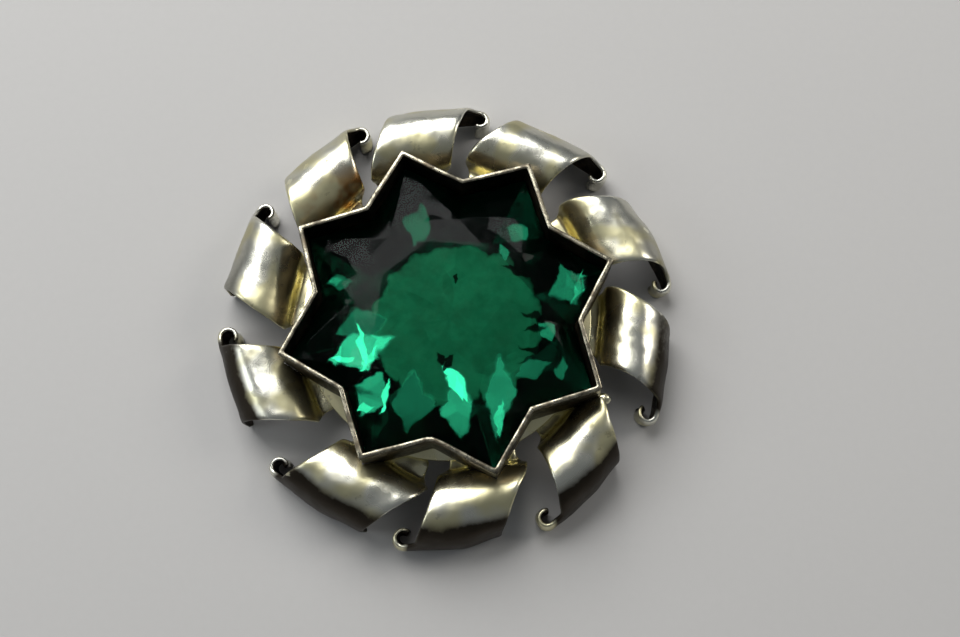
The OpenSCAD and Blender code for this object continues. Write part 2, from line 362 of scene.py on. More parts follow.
class Graph:
    """Builds one material's nodes."""

    def __init__(self, name: str) -> None:
        """Starts an empty material that holds a Principled shader.

        Args:
            name: The material's name.
        """
        self.material = bpy.data.materials.new(name)
        self.material.use_nodes = True
        self.nodes = self.material.node_tree.nodes
        self.links = self.material.node_tree.links
        self.shader = self.nodes["Principled BSDF"]
        self.coords = self.nodes.new("ShaderNodeTexCoord").outputs["Object"]
        self.pushed: Socket | None = None

    def join(self, source: Socket | float | Iterable[float], target: Socket) -> None:
        """Links a socket, or sets a plain value, on a target socket.

        Args:
            source: The socket or the value.
            target: The socket that takes it.
        """
        if isinstance(source, Socket):
            self.links.new(source, target)
        else:
            target.default_value = source

    def vector(self, operation: str, *values: Socket | Point) -> dict[str, Socket]:
        """Adds a vector sum, product or other step.

        Args:
            operation: Blender's name for the step.
            values: The sockets or plain vectors that it takes, in order.

        Returns:
            The node's outputs by name.
        """
        node = self.nodes.new("ShaderNodeVectorMath")
        node.operation = operation
        for index, value in enumerate(values):
            self.join(value, node.inputs[index])
        return node.outputs

    def noise(
        self,
        grain_mm: float,
        detail: float = 3.0,
        rough: float = 0.55,
        where: Socket | None = None,
    ) -> Socket:
        """Gives a noise value.

        Args:
            grain_mm: About how wide its lumps are.
            detail: How many finer layers it has.
            rough: How strong the finer layers are.
            where: The coordinates that it follows, if not the object's own.

        Returns:
            The value, from 0 to 1.
        """
        node = self.nodes.new("ShaderNodeTexNoise")
        self.join(where or self.coords, node.inputs["Vector"])
        node.inputs["Scale"].default_value = 1.0 / (grain_mm * MM)
        node.inputs["Detail"].default_value = detail
        node.inputs["Roughness"].default_value = rough
        return node.outputs["Fac"]

    def cells(self, grain_mm: float) -> Socket:
        """Gives the distance to the nearest of some scattered points.

        Args:
            grain_mm: About how far apart the points are.

        Returns:
            The distance, in grains.
        """
        node = self.nodes.new("ShaderNodeTexVoronoi")
        self.join(self.coords, node.inputs["Vector"])
        node.inputs["Scale"].default_value = 1.0 / (grain_mm * MM)
        return node.outputs["Distance"]

    def facets(self, vector: Socket, scale: float) -> tuple[Socket, Socket]:
        """Gives each straight-edged cell of a pattern one random value and one random colour.

        Args:
            vector: The coordinates that the pattern follows.
            scale: Cells to the metre.

        Returns:
            The value and the colour.
        """
        node = self.nodes.new("ShaderNodeTexVoronoi")
        self.join(vector, node.inputs["Vector"])
        node.inputs["Scale"].default_value = scale
        parts = self.nodes.new("ShaderNodeSeparateColor")
        self.join(node.outputs["Color"], parts.inputs["Color"])
        return parts.outputs["Red"], node.outputs["Color"]

    def tilted(self, colour: Socket, amount: Socket) -> Socket:
        """Gives the surface normal, leant over by a random colour.

        Args:
            colour: The random colour of each cell.
            amount: How far the cells lean.

        Returns:
            The leaning normal.
        """
        centred = self.vector("SUBTRACT", colour, (0.5, 0.5, 0.5))
        scaled = self.nodes.new("ShaderNodeVectorMath")
        scaled.operation = "SCALE"
        self.join(centred["Vector"], scaled.inputs[0])
        self.join(amount, scaled.inputs["Scale"])
        geometry = self.nodes.new("ShaderNodeNewGeometry")
        total = self.vector("ADD", scaled.outputs["Vector"], geometry.outputs["Normal"])
        return self.vector("NORMALIZE", total["Vector"])["Vector"]

    def wavy(self) -> Socket:
        """Gives coordinates pushed about a little by noise, so straight outlines waver.

        Returns:
            The coordinates, which are made once and then shared.
        """
        if self.pushed is None:
            grain, push = 1.6 * MM, 0.75 * MM
            node = self.nodes.new("ShaderNodeTexNoise")
            node.inputs["Scale"].default_value = 1 / grain
            self.join(self.coords, node.inputs["Vector"])
            away = self.vector("MULTIPLY_ADD", node.outputs["Color"], (2 * push, 2 * push, 0), self.coords)
            self.pushed = self.vector("SUBTRACT", away["Vector"], (push, push, 0))["Vector"]
        return self.pushed

    def kite(self, shape: Kite) -> Socket:
        """Gives 1 inside an upright diamond-shaped column and 0 outside.

        Args:
            shape: The diamond's place, size and turn.

        Returns:
            The mask.
        """
        place = self.nodes.new("ShaderNodeMapping")
        place.vector_type = "TEXTURE"
        self.join(self.wavy(), place.inputs["Vector"])
        place.inputs["Location"].default_value = (shape.x * MM, shape.y * MM, 0)
        place.inputs["Rotation"].default_value = (0, 0, math.radians(shape.turn))
        place.inputs["Scale"].default_value = (shape.wide * MM, shape.long * MM, 1)
        flat = self.vector("ABSOLUTE", place.outputs["Vector"])
        total = self.vector("DOT_PRODUCT", flat["Vector"], (1, 1, 0))
        return self.ramp(total["Value"], 1.20, 0.84)

    def turned_to(self, normal: Socket, towards: Point, amount: Socket) -> Socket:
        """Gives a normal that leans to a fixed direction where amount is 1.

        Args:
            normal: The normal elsewhere.
            towards: The direction.
            amount: Where the direction holds.

        Returns:
            The mixed normal.
        """
        node = self.nodes.new("ShaderNodeMix")
        node.data_type = "VECTOR"
        self.join(amount, node.inputs["Factor"])
        # The node's vector pair is inputs 4 and 5, and its vector result is output 1.
        self.join(normal, node.inputs[4])
        node.inputs[5].default_value = towards
        return self.vector("NORMALIZE", node.outputs[1])["Vector"]

    def painted(self, name: str) -> Socket:
        """Gives a value that the mesh's vertices carry.

        Args:
            name: The value's name.

        Returns:
            The value.
        """
        node = self.nodes.new("ShaderNodeAttribute")
        node.attribute_name = name
        return node.outputs["Fac"]

    def around(self, centre: Point, reach: float) -> Socket:
        """Gives coordinates that run round an upright line, and outwards from it.

        Args:
            centre: A point on the line.
            reach: How far out one radian is as long as it is on the surface.

        Returns:
            The coordinates.
        """
        node = self.nodes.new("ShaderNodeCombineXYZ")
        self.join(self.math("MULTIPLY", self.bearing(centre), reach, clamp=False), node.inputs["X"])
        self.join(self.radius(centre), node.inputs["Y"])
        return node.outputs["Vector"]

    def stretched(self, factors: Point) -> Socket:
        """Gives the object's coordinates scaled.

        Args:
            factors: Scale along X, Y and Z.

        Returns:
            The coordinates.
        """
        node = self.nodes.new("ShaderNodeMapping")
        self.join(self.coords, node.inputs["Vector"])
        node.inputs["Scale"].default_value = factors
        return node.outputs["Vector"]

    def axis(self, name: str) -> Socket:
        """Gives one of the object's coordinates.

        Args:
            name: X, Y or Z.

        Returns:
            The coordinate.
        """
        node = self.nodes.new("ShaderNodeSeparateXYZ")
        self.join(self.coords, node.inputs["Vector"])
        return node.outputs[name]

    def bearing(self, centre: Point = (0, 0, 0)) -> Socket:
        """Gives the direction around an upright line.

        Args:
            centre: A point on the line.

        Returns:
            The direction in radians.
        """
        move = self.vector("SUBTRACT", self.coords, centre)
        parts = self.nodes.new("ShaderNodeSeparateXYZ")
        self.join(move["Vector"], parts.inputs["Vector"])
        return self.math("ARCTAN2", parts.outputs["Y"], parts.outputs["X"], clamp=False)

    def radius(self, centre: Point = (0, 0, 0)) -> Socket:
        """Gives the distance from an upright line.

        Args:
            centre: A point on the line.

        Returns:
            The distance.
        """
        move = self.vector("SUBTRACT", self.coords, centre)
        flat = self.vector("MULTIPLY", move["Vector"], (1, 1, 0))
        return self.vector("LENGTH", flat["Vector"])["Value"]

    def ramp(self, value: Socket, low: float, high: float, to: tuple[float, float] = (0.0, 1.0)) -> Socket:
        """Eases a value from one number to another.

        Args:
            value: The value.
            low: Where the result is the first number of to.
            high: Where the result is the second number of to.
            to: The two numbers.

        Returns:
            The eased value.
        """
        node = self.nodes.new("ShaderNodeMapRange")
        node.interpolation_type = "SMOOTHSTEP"
        self.join(value, node.inputs["Value"])
        node.inputs["From Min"].default_value = low
        node.inputs["From Max"].default_value = high
        node.inputs["To Min"].default_value = to[0]
        node.inputs["To Max"].default_value = to[1]
        return node.outputs["Result"]

    def math(
        self, operation: str, a: Socket | float, b: Socket | float = 0.0, clamp: bool = True
    ) -> Socket:
        """Gives a sum, product or other result of two values.

        Args:
            operation: Blender's name for the step.
            a: The first value.
            b: The second value.
            clamp: Whether the result is kept from 0 to 1.

        Returns:
            The result.
        """
        node = self.nodes.new("ShaderNodeMath")
        node.operation = operation
        node.use_clamp = clamp
        self.join(a, node.inputs[0])
        self.join(b, node.inputs[1])
        return node.outputs["Value"]

    def blend(self, factor: Socket | float, a: Socket | Colour, b: Socket | Colour) -> Socket:
        """Mixes two colours.

        Args:
            factor: 0 for the first colour and 1 for the second.
            a: The first colour.
            b: The second colour.

        Returns:
            The mixed colour.
        """
        node = self.nodes.new("ShaderNodeMix")
        node.data_type = "RGBA"
        self.join(factor, node.inputs["Factor"])
        # The node's colour pair is inputs 6 and 7, and its colour result is output 2.
        for source, target in ((a, node.inputs[6]), (b, node.inputs[7])):
            self.join(source if isinstance(source, Socket) else (*source, 1.0), target)
        return node.outputs[2]

    def edges(self, low: float, high: float) -> Socket:
        """Finds the convex edges.

        Args:
            low: The sharpness at which the result leaves 0.
            high: The sharpness at which it reaches 1.

        Returns:
            1 on the edges and 0 elsewhere.
        """
        node = self.nodes.new("ShaderNodeNewGeometry")
        return self.ramp(node.outputs["Pointiness"], low, high)

    def bump(self, height: Socket, depth_mm: float, strength: float, under: Socket | None = None) -> Socket:
        """Roughens the surface's normals.

        Args:
            height: The relief, from 0 to 1.
            depth_mm: Its full height.
            strength: How much of it shows, from 0 to 1.
            under: Normals that it is added to.

        Returns:
            The normals.
        """
        node = self.nodes.new("ShaderNodeBump")
        node.inputs["Strength"].default_value = strength
        node.inputs["Distance"].default_value = depth_mm * MM
        self.join(height, node.inputs["Height"])
        if under is not None:
            self.join(under, node.inputs["Normal"])
        return node.outputs["Normal"]

    def set(self, **values: Socket | float | Iterable[float]) -> None:
        """Feeds the shader's sockets.

        Args:
            values: Sockets or plain values by the shader's own names, with underscores for spaces.
        """
        for name, value in values.items():
            self.join(value, self.shader.inputs[name.replace("_", " ")])


@dataclass(frozen=True)
class WornGilding:
    """A thin gold wash over silver sheet, rubbed bright on the ridges, with real smears and pits, a painted
    dark reflection on its low outer slope and a painted orange reflection at its root.
    """

    name: str = "worn_gilding"
    silver: Colour = (0.85, 0.84, 0.73)
    gold: Colour = (0.78, 0.73, 0.45)
    # Colour of the painted orange reflection at the root.
    reflected_orange: Colour = (0.48, 0.22, 0.05)
    # Colour of real smears and pits and of the painted dark reflection.
    tarnish_and_dark_reflection: Colour = (0.035, 0.028, 0.020)
    gold_share: float = 0.62
    # Strength of the painted dark reflection.
    dark_reflection_share: float = 1.15
    # Strength of the painted orange reflection at the root.
    orange_reflection_share: float = 0.05
    # How much of the painted dark reflection is left off the scroll's tongue.
    dark_reflection_spared: float = 0.85
    smear_share: float = 0.42
    pit_share: float = 0.8
    rough: tuple[float, float] = (0.23, 0.34)
    root_r: tuple[float, float] = (19.4 * MM, 16.5 * MM)
    # Where the painted dark reflection lies: its radius, its height and its fall from -Y to +Y.
    dark_reflection_r: tuple[float, float] = (19.6 * MM, 20.8 * MM)
    dark_reflection_z: tuple[float, float] = (7.6 * MM, 6.0 * MM)
    dark_reflection_y: tuple[float, float] = (12.0 * MM, -8.0 * MM)
    root_drift: float = 1.2 * MM
    dark_reflection_drift: float = 1.4 * MM

    def make(self) -> Material:
        """Makes the material.

        Returns:
            The finished material.
        """
        g = Graph(self.name)
        r, z = g.radius(), g.axis("Z")
        patches = g.noise(3.2, 1.5, 0.4)
        root = g.ramp(g.math("ADD", r, g.math("MULTIPLY", patches, self.root_drift)), *self.root_r)
        # The low part of the sheet, where the painted dark reflection goes.
        low = g.ramp(g.math("ADD", z, g.math("MULTIPLY", patches, self.dark_reflection_drift)), *self.dark_reflection_z)
        spread = g.ramp(patches, 0.56 - 0.2 * self.gold_share, 0.64)
        colour = g.blend(g.math("ADD", spread, g.math("MULTIPLY", root, 0.8)), self.silver, self.gold)
        # Painted orange reflection at the root, in patches.
        deep = g.math("MULTIPLY", root, g.ramp(g.noise(2.4, 2.0), 0.40, 0.60))
        colour = g.blend(g.math("MULTIPLY", deep, self.orange_reflection_share), colour, self.reflected_orange)
        # Real smears and pits and a painted dark reflection darken the sheet.
        stain_and_dark_reflection = self.stain_and_dark_reflection(g, low, g.ramp(r, *self.dark_reflection_r))
        colour = g.blend(stain_and_dark_reflection, colour, self.tarnish_and_dark_reflection)
        brushed = g.noise(0.5, 2.0, 0.5, g.stretched((1, 6, 2)))
        rough = g.math("ADD", g.ramp(patches, 0.3, 0.7, self.rough), g.math("MULTIPLY", stain_and_dark_reflection, 0.2))
        normal = g.bump(patches, 0.08, 0.3)
        normal = g.bump(g.noise(0.8, 1.0), 0.014, 0.35, normal)
        normal = g.bump(brushed, 0.004, 0.3, normal)
        g.set(Base_Color=colour, Metallic=1.0, Roughness=rough, Normal=normal)
        return g.material

    def stain_and_dark_reflection(self, g: Graph, low: Socket, outer: Socket) -> Socket:
        """Gives where the sheet is dark: a painted dark reflection on its low outer slope, stronger towards
        -Y, and real smears and pits.

        Args:
            g: The material's graph.
            low: 1 where the sheet hangs low.
            outer: 1 on its outer slope.

        Returns:
            How dark it is, from 0 to 1.
        """
        grain = g.ramp(g.noise(0.55, 4.0, 0.6), 0.25, 0.62, (0.88, 1.0))
        stain_and_dark_reflection = g.math("MULTIPLY", g.math("MULTIPLY", low, outer), grain)
        # Painted shade: the dark reflection is stronger towards -Y.
        stain_and_dark_reflection = g.math("MULTIPLY", stain_and_dark_reflection, g.ramp(g.axis("Y"), *self.dark_reflection_y, to=(0.30, 1.0)))
        stain_and_dark_reflection = g.math("MULTIPLY", stain_and_dark_reflection, self.dark_reflection_share)
        # The painted dark reflection is left off the scroll's tongue.
        clean = g.math("MULTIPLY", g.painted(SPARED_DARK_REFLECTION), self.dark_reflection_spared)
        stain_and_dark_reflection = g.math("MULTIPLY", stain_and_dark_reflection, g.math("SUBTRACT", 1.0, clean))
        smears = g.math("MULTIPLY", g.ramp(g.noise(1.3, 4.0, 0.6), 0.58, 0.70), self.smear_share)
        pits = g.math("MULTIPLY", g.ramp(g.cells(4.2), 0.050, 0.025), self.pit_share)
        stain_and_dark_reflection = g.math("MAXIMUM", stain_and_dark_reflection, g.math("MAXIMUM", smears, pits))
        return g.math("SUBTRACT", stain_and_dark_reflection, g.math("MULTIPLY", g.edges(0.53, 0.60), 0.6))


@dataclass(frozen=True)
class ShadedSide:
    """The petals' undersides, which no polishing reaches."""

    name: str = "shaded_side"
    brown: Colour = (0.075, 0.055, 0.035)
    black: Colour = (0.020, 0.017, 0.014)
    rough: tuple[float, float] = (0.42, 0.62)

    def make(self) -> Material:
        """Makes the material.

        Returns:
            The finished material.
        """
        g = Graph(self.name)
        crust = g.noise(1.1, 4.0, 0.6)
        colour = g.blend(g.ramp(crust, 0.38, 0.62), self.brown, self.black)
        rough = g.ramp(crust, 0.3, 0.7, self.rough)
        g.set(Base_Color=colour, Metallic=0.8, Roughness=rough, Normal=g.bump(crust, 0.03, 0.4))
        return g.material


@dataclass(frozen=True)
class TarnishedStrip:
    """Darkened sheet whose upper edge is lighter, partly from wear and partly as a painted highlight."""

    name: str = "tarnished_strip"
    dark: Colour = (0.030, 0.026, 0.021)
    mid: Colour = (0.13, 0.10, 0.065)
    # The rim's lighter colour: partly wear, partly a painted highlight line.
    bright: Colour = (0.52, 0.48, 0.36)
    rim_z: float = 9.0 * MM
    rim_band: float = 0.06 * MM
    rough: tuple[float, float] = (0.32, 0.50)
    rim_polish: float = 0.17

    def make(self) -> Material:
        """Makes the material.

        Returns:
            The finished material.
        """
        g = Graph(self.name)
        z = g.axis("Z")
        fine = g.noise(0.5, 5.0, 0.6)
        broad = g.noise(2.2, 3.0)
        colour = g.blend(g.ramp(broad, 0.40, 0.68), self.dark, self.mid)
        height = g.math("ADD", z, g.math("MULTIPLY", fine, self.rim_band))
        # The rim's top is lighter: partly wear, partly a painted highlight line.
        rim = g.ramp(height, self.rim_z - self.rim_band, self.rim_z - 0.2 * self.rim_band)
        wear_and_highlight = g.math("MULTIPLY", rim, g.ramp(g.noise(1.3, 4.0), 0.36, 0.62, (0.12, 1.0)))
        colour = g.blend(wear_and_highlight, colour, self.bright)
        polish = g.math("MULTIPLY", wear_and_highlight, self.rim_polish)
        rough = g.math("SUBTRACT", g.ramp(fine, 0.3, 0.7, self.rough), polish)
        normal = g.bump(broad, 0.08, 0.4)
        normal = g.bump(fine, 0.03, 0.5, normal)
        g.set(Base_Color=colour, Metallic=1.0, Roughness=rough, Normal=normal)
        return g.material


@dataclass(frozen=True)
class GreenGlass:
    """Clear deep green glass with faint polish marks."""

    name: str = "green_glass"
    tint: Colour = (0.02, 0.40, 0.200)
    ior: float = 1.16
    facet_lean: float = 0.32
    facet_w: float = 2.7 * MM
    facets_from_r: tuple[float, float] = (8.6 * MM, 8.8 * MM)
    film: tuple[float, float] = (0.13, 0.22)

    def make(self) -> Material:
        """Makes the material.

        Returns:
            The finished material.
        """
        g = Graph(self.name)
        swirl = g.noise(3.5, 2.0)
        colour = g.blend(g.ramp(swirl, 0.3, 0.7), self.tint, tuple(0.86 * c for c in self.tint))
        dust = g.ramp(g.noise(1.4, 2.0, 0.5), 0.35, 0.70, self.film)
        _, leans = g.facets(g.around(STAR_CENTRE, MIDDLE_R), 1 / self.facet_w)
        cut = g.ramp(g.radius(), *self.facets_from_r, to=(0.0, self.facet_lean))
        normal = g.bump(g.noise(1.6, 2.0), 0.01, 0.25, g.tilted(leans, cut))
        g.set(Base_Color=colour, Roughness=dust, Normal=normal, Transmission_Weight=1.0, IOR=self.ior)
        return g.material


@dataclass(frozen=True)
class FoiledBack:
    """The silvering on the stone's underside: bright under the middle, black towards the points as a
    painted dark reflection, with painted glints and painted dark lines on kite-shaped patches.
    """

    name: str = "foiled_back"
    bright: Colour = (0.295, 0.31, 0.26)
    # Colour of the painted glints.
    painted_glint_colour: Colour = (0.95, 0.98, 0.95)
    # Black for the painted dark reflections.
    black: Colour = (0.010, 0.012, 0.011)
    centre: Point = (1.1 * MM, -1.1 * MM, 0.0)
    clear_r: float = 7.9 * MM
    lobes: int = 16
    lobe_depth: float = 0.35 * MM
    ragged_depth: float = 1.8 * MM
    fading: tuple[float, float] = (0.55 * MM, 1.05 * MM)
    facet_w: float = 2.6 * MM
    broad_facet_w: float = 4.6 * MM
    # Painted glints: kites that brighten the foil to their level.
    painted_glints: tuple[Kite, ...] = (
        Kite(-2.9, 8.9, 1.6, 2.1, -12, 0.06),
        Kite(7.0, 8.1, 0.95, 1.15, 40, 0.10),
        Kite(5.6, 6.3, 0.55, 0.9, 20, 0.14),
        Kite(11.8, 2.7, 2.0, 2.2, 20, 0.12),
        Kite(12.8, 2.3, 0.45, 1.9, -25, 0.30),
        Kite(-10.3, 2.9, 1.3, 0.8, 0, 0.07),
        Kite(-10.6, 3.0, 0.6, 0.35, 0, 0.22),
        Kite(9.7, -1.7, 0.8, 1.3, 30, 0.13),
        Kite(8.2, -5.5, 1.9, 1.3, 20, 0.07),
        Kite(11.0, -5.6, 0.9, 1.3, 0, 0.09),
        Kite(-8.0, -1.2, 2.6, 2.0, 20, 0.075),
        Kite(-8.3, -3.7, 3.3, 1.9, 25, 0.42),
        Kite(-8.1, -3.1, 0.45, 2.2, 12, 1.0),
        Kite(-9.9, -4.6, 1.2, 0.5, 0, 0.85),
        Kite(-7.4, -4.4, 1.6, 0.4, 50, 0.75),
        Kite(-7.0, -8.0, 1.8, 2.6, -25, 0.22),
        Kite(-5.7, -8.1, 0.35, 2.0, -12, 0.9),
        Kite(-7.6, -9.4, 0.9, 0.5, 20, 0.6),
        Kite(-3.3, -8.6, 2.2, 3.2, -4, 0.06),
        Kite(0.9, -6.6, 0.8, 2.2, 35, 0.85),
        Kite(1.2, -7.2, 0.4, 1.3, 20, 1.0),
        Kite(1.3, -9.2, 1.8, 3.1, 6, 0.20),
        Kite(5.1, -8.0, 1.6, 4.0, -4, 0.14),
        Kite(5.2, -10.2, 0.6, 1.8, -4, 0.42),
    )
    # Painted dark reflections: thin kites that blacken the foil.
    cuts: tuple[Kite, ...] = (
        Kite(-0.7, -4.3, 0.5, 0.9, 35),
        Kite(0.2, -4.9, 0.45, 0.8, -30),
        Kite(-0.1, -4.4, 0.8, 0.25, 10),
        Kite(6.9, 4.3, 1.6, 0.4, -25),
        Kite(8.7, -0.3, 1.5, 0.45, -18),
        Kite(8.6, -1.4, 1.2, 0.40, 12),
        Kite(8.6, -3.6, 1.7, 0.45, -12),
        Kite(8.4, -4.4, 1.6, 0.35, 16),
        Kite(3.0, -9.8, 0.8, 2.2, 0),
        Kite(-1.1, -10.4, 0.5, 1.8, 6),
        Kite(-5.0, -8.2, 0.45, 2.2, -12),
        Kite(0.9, 3.7, 0.30, 0.35, 0),
        Kite(-0.8, 7.2, 1.1, 0.5, 10),
    )
    glint_to: Point = (-0.18, 0.20, 0.96)
    matt: float = 0.60
    facet_polish: float = 0.38
    spot_share: float = 0.45

    def make(self) -> Material:
        """Makes the material.

        Returns:
            The finished material.
        """
        g = Graph(self.name)
        # Painted dark reflection: the foil turns black beyond a ragged, lobed line round the middle.
        r = g.radius(self.centre)
        turns = g.math("MULTIPLY", g.bearing(self.centre), self.lobes / 2, clamp=False)
        wave = g.math("SINE", turns, clamp=False)
        lobe = g.math("MULTIPLY", g.math("ABSOLUTE", wave, clamp=False), self.lobe_depth, clamp=False)
        ragged = g.math("MULTIPLY", g.noise(2.2, 2.0, 0.6), self.ragged_depth, clamp=False)
        reach = g.math("SUBTRACT", g.math("ADD", r, ragged, clamp=False), lobe, clamp=False)
        outside = g.ramp(reach, *(self.clear_r + step for step in self.fading))
        facets, leans = g.facets(g.around(STAR_CENTRE, MIDDLE_R), 1 / self.facet_w)
        # Painted glints: each kite brightens the foil to its own level.
        levels, inside = 0.0, 0.0
        for shape in self.painted_glints:
            spot = g.kite(shape)
            levels = g.math("MAXIMUM", levels, g.math("MULTIPLY", spot, shape.level))
            inside = g.math("MAXIMUM", inside, spot)
        # Painted dark reflections along the thin kites.
        cut = 0.0
        for shape in self.cuts:
            cut = g.math("MAXIMUM", cut, g.kite(shape))
        inside = g.math("MULTIPLY", inside, g.ramp(levels, 0.01, 0.06))
        levels = g.math("MULTIPLY", levels, g.ramp(facets, 0.0, 1.0, (0.65, 1.0)))
        faded = g.ramp(g.noise(1.5, 4.0, 0.65), 0.35, 0.70, (1.0, 0.78))
        broad, _ = g.facets(g.coords, 1 / self.broad_facet_w)
        faded = g.math("MULTIPLY", faded, g.ramp(broad, 0.0, 1.0, (0.84, 1.0)))
        middle = g.math("MULTIPLY", g.math("SUBTRACT", 1.0, g.math("MAXIMUM", outside, inside)), faded)
        # A faint painted reflection in the black zone, facet by facet.
        painted_faint_reflection = g.math("MULTIPLY", g.math("MULTIPLY", outside, facets), 0.014)
        spots = g.ramp(g.cells(3.1), 0.075, 0.045)
        dark = g.math("MAXIMUM", cut, g.math("MULTIPLY", spots, self.spot_share))
        colour = g.blend(middle, self.black, self.bright)
        colour = g.blend(g.math("MAXIMUM", levels, painted_faint_reflection), colour, self.painted_glint_colour)
        # The painted dark lines and real spots blacken the foil.
        colour = g.blend(dark, colour, self.black)
        polish = g.math("MULTIPLY", g.math("MAXIMUM", inside, outside), self.facet_polish)
        rough = g.math("SUBTRACT", self.matt, polish)
        leaning = g.tilted(leans, 0.10)
        # The glint kites lean to the direction that mirrors the top lamp into the camera.
        normal = g.turned_to(leaning, self.glint_to, g.math("MULTIPLY", inside, 0.85))
        normal = g.bump(g.noise(1.5, 3.0), 0.05, 0.3, normal)
        g.set(Base_Color=colour, Metallic=1.0, Roughness=rough, Normal=normal)
        return g.material


@dataclass(frozen=True)
class CrinkledFoil:
    """Thin bright foil, a little crinkled and spotted."""

    name: str = "crinkled_foil"
    bright: Colour = (0.62, 0.66, 0.60)
    spot: Colour = (0.10, 0.12, 0.09)
    rough: tuple[float, float] = (0.42, 0.62)

    def make(self) -> Material:
        """Makes the material.

        Returns:
            The finished material.
        """
        g = Graph(self.name)
        crinkle = g.noise(1.4, 3.0, 0.5)
        spots = g.ramp(g.cells(2.6), 0.07, 0.03)
        colour = g.blend(spots, self.bright, self.spot)
        normal = g.bump(crinkle, 0.12, 0.35)
        rough = g.ramp(crinkle, 0.3, 0.7, self.rough)
        g.set(Base_Color=colour, Metallic=1.0, Roughness=rough, Normal=normal)
        return g.material


@dataclass(frozen=True)
class DrawnWire:
    """Hard drawn wire and turned fittings with fine lengthwise marks."""

    name: str = "drawn_wire"
    bright: Colour = (0.66, 0.62, 0.54)
    dull: Colour = (0.26, 0.22, 0.17)
    along: Point = (2, 30, 30)
    rough: tuple[float, float] = (0.22, 0.42)

    def make(self) -> Material:
        """Makes the material.

        Returns:
            The finished material.
        """
        g = Graph(self.name)
        marks = g.noise(1.5, 4.0, 0.6, g.stretched(self.along))
        patches = g.noise(1.8, 3.0)
        colour = g.blend(g.ramp(patches, 0.46, 0.70), self.bright, self.dull)
        colour = g.blend(g.math("MULTIPLY", g.ramp(marks, 0.55, 0.75), 0.4), colour, self.dull)
        normal = g.bump(marks, 0.01, 0.4)
        rough = g.ramp(marks, 0.3, 0.7, self.rough)
        g.set(Base_Color=colour, Metallic=1.0, Roughness=rough, Normal=normal)
        return g.material


@dataclass(frozen=True)
class PaleCard:
    """Pale matt card for the floor."""

    name: str = "pale_card"
    tone: Colour = (0.52, 0.51, 0.495)

    def make(self) -> Material:
        """Makes the material.

        Returns:
            The finished material.
        """
        g = Graph(self.name)
        grain = g.noise(0.8, 4.0)
        colour = g.blend(grain, self.tone, tuple(0.96 * c for c in self.tone))
        g.set(Base_Color=colour, Roughness=0.85, Normal=g.bump(grain, 0.01, 0.2))
        return g.material


def dress(obj: Thing, material: Material) -> None:
    """Gives an object one material.

    Args:
        obj: The object.
        material: Its only material.
    """
    obj.data.materials.clear()
    obj.data.materials.append(material)


def place(obj: Thing, body: Body, slot: Slot) -> None:
    """Rides a finished piece on its body.

    Args:
        obj: The piece.
        body: The body that it moves with.
        slot: The record's slot for its finish. It is not used.
    """
    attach(obj, body.value)
    LOG.info("%s: %d faces on %s", obj.name, len(obj.data.polygons), body.value)


